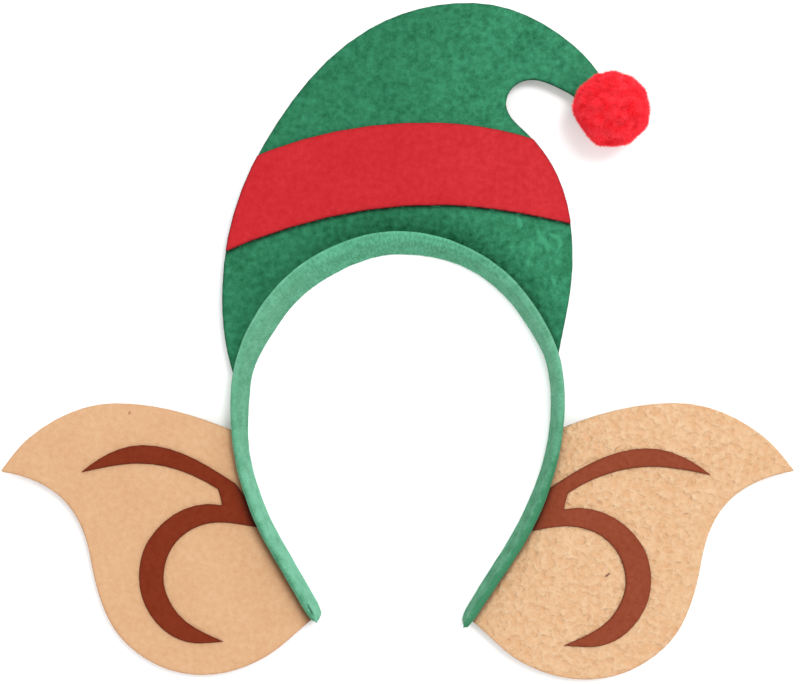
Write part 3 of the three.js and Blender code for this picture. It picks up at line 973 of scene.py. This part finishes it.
bpy.ops.object.select_all(action="DESELECT")
bpy.ops.mesh.primitive_cone_add(
    vertices=3, radius1=FIBRE_WIDTH / 2, radius2=0, depth=FIBRE_LENGTH,
    location=(0, 0, FIBRE_LENGTH / 2),
)
fibre = bpy.context.object
fibre.name = "fibre"
bpy.ops.object.transform_apply(location=True, rotation=True, scale=True)
keep(fibre, "tip", vectors(fibre.data.vertices, "co")[:, 2] / FIBRE_LENGTH)
fibre.data.materials.append(red_fluff)
print("a fibre has", len(fibre.data.polygons), "faces")

# %% Ball
BALL_RADIUS = 13.7 * MM
BALL_SHAPE = (1.03, 0.98, 1.0)
BALL_LUMPS = [{"size": 9 * MM, "height": 0.35 * MM}, {"size": 3.6 * MM, "height": 1.0 * MM}]
BALL_DEPTH = 15.6 * MM  # its centre lies this far below the top of its solid
BALL_LIFT = 0.1 * MM  # and it ends this far above the foot
PRESSED_WAY = Vector((-0.8, -0.6, 0.0))
PRESSED_TO = 11.6 * MM  # from the centre
PRESSED_SHARE = 0.9  # of what lies past that is pressed in

pompom_low, pompom_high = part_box("pompom")
pompom_centre = Vector((
    (pompom_low.x + pompom_high.x) / 2,
    (pompom_low.y + pompom_high.y) / 2,
    pompom_high.z - BALL_DEPTH,
))
bpy.ops.object.select_all(action="DESELECT")
bpy.ops.mesh.primitive_ico_sphere_add(subdivisions=6, radius=BALL_RADIUS, location=pompom_centre)
pompom = bpy.context.object
pompom.name = "pompom_fluff"
bpy.ops.object.transform_apply(location=True, rotation=True, scale=True)
places = vectors(pompom.data.vertices, "co")
rays = (places - pompom_centre) / BALL_RADIUS
places = rays * BALL_RADIUS * BALL_SHAPE + pompom_centre
for seed, row in enumerate(BALL_LUMPS):
    places = places + rays * (row["height"] * lumps(places, row["size"], seed=seed))[:, None]
past = np.maximum((places - pompom_centre) @ PRESSED_WAY - PRESSED_TO, 0)
places -= np.outer(past * PRESSED_SHARE, PRESSED_WAY)
places[:, 2] = np.maximum(places[:, 2], pompom_low.z + BALL_LIFT)
move_to(pompom, places)
pompom.data.materials.append(red_fluff)
print("ball:", len(pompom.data.polygons), "faces")
print("its centre, mm:", tuple(round(x / MM, 1) for x in pompom_centre))


# %% Fibres on a piece
def fibres(fibre, spacing, lean, lowest, seed):
    """A node tree that sets a fibre on a piece again and again, with a random lean."""
    tree = bpy.data.node_groups.new("fibres", "GeometryNodeTree")
    tree.interface.new_socket("Geometry", in_out="INPUT", socket_type="NodeSocketGeometry")
    tree.interface.new_socket("Geometry", in_out="OUTPUT", socket_type="NodeSocketGeometry")
    board = Board(tree)

    def random(kind, low, high, shift):
        keys = {"FLOAT_VECTOR": (0, 1, 0), "FLOAT": (2, 3, 1)}[kind]
        return board.add(
            "FunctionNodeRandomValue", {"data_type": kind},
            {keys[0]: low, keys[1]: high, "Seed": seed + shift}, output=keys[2],
        )

    ball = board.add("NodeGroupInput")
    place = board.add("GeometryNodeInputPosition")
    height = board.add("ShaderNodeSeparateXYZ", {}, {0: place}, output=2)
    points = board.add(
        "GeometryNodeDistributePointsOnFaces", {},
        {"Mesh": ball, "Selection": height > lowest, "Density": 1 / spacing ** 2, "Seed": seed},
    )
    normal = Strand(board, points.socket.node.outputs["Normal"])
    stray = random("FLOAT_VECTOR", (-lean,) * 3, (lean,) * 3, 1)
    way = board.add("ShaderNodeVectorMath", {"operation": "ADD"}, {0: normal, 1: stray})
    spin = random("FLOAT_VECTOR", (0, 0, 0), (math.tau,) * 3, 2)
    turn = board.add(
        "FunctionNodeAlignRotationToVector", {"axis": "Z"}, {"Rotation": spin, "Vector": way}
    )
    size = board.add("ShaderNodeCombineXYZ", {}, {0: 1.0, 1: 1.0, 2: random("FLOAT", 0.6, 1.0, 3)})
    one = board.add("GeometryNodeObjectInfo", {}, {"Object": fibre}, output=4)
    many = board.add(
        "GeometryNodeInstanceOnPoints", {},
        {"Points": points, "Instance": one, "Rotation": turn, "Scale": size},
    )
    marked = board.add(
        "GeometryNodeStoreNamedAttribute", {"data_type": "FLOAT", "domain": "INSTANCE"},
        {"Geometry": many, "Name": "shade", "Value": random("FLOAT", 0.0, 1.0, 4)},
    )
    real = board.add("GeometryNodeRealizeInstances", {}, {0: marked})
    both = board.add("GeometryNodeJoinGeometry", {}, {0: real})
    tree.links.new(ball.socket, both.socket.node.inputs[0])
    result = tree.nodes.new("NodeGroupOutput")
    tree.links.new(both.socket, result.inputs[0])
    return tree


# %% Set the fibres
FIBRE_SPACING = 0.3 * MM
FIBRE_LEAN = 1.1  # most stray of a fibre, as a share of the upright
FIBRE_LIFT = 1.2 * MM  # none grows lower than this above the foot

lowest = pompom_low.z + FIBRE_LIFT
tree = fibres(fibre, FIBRE_SPACING, lean=FIBRE_LEAN, lowest=lowest, seed=11)
apply(pompom, "NODES", node_group=tree)
bpy.data.objects.remove(fibre)
print("pompom:", len(pompom.data.polygons), "faces")

# %% [markdown]
# ## Put each piece on the body in place of its solid
#
# Every piece rides on the one body and stands for its solid, which is hidden. A call for each
# piece would say the same, but a table shows at a glance that none is left out. The stripe, the
# pompom and the trims are glued to their felt and go with it.

# %% Ride and replace
PIECES = [
    {"piece": sleeve, "node": "band", "slot": "knit_green"},
    {"piece": hat, "node": "hat", "slot": "felt_green"},
    {"piece": stripe, "node": "hat_stripe", "slot": "felt_red"},
    {"piece": pompom, "node": "pompom", "slot": "fluff_red"},
    {"piece": left_ear, "node": "ear_left", "slot": "felt_beige"},
    {"piece": right_ear, "node": "ear_right", "slot": "felt_beige"},
    {"piece": left_trim, "node": "ear_fold_left", "slot": "felt_brown"},
    {"piece": right_trim, "node": "ear_fold_right", "slot": "felt_brown"},
]
for row in PIECES:
    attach(row["piece"], "root")
    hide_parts(row["node"])
print("pieces:", len(PIECES))
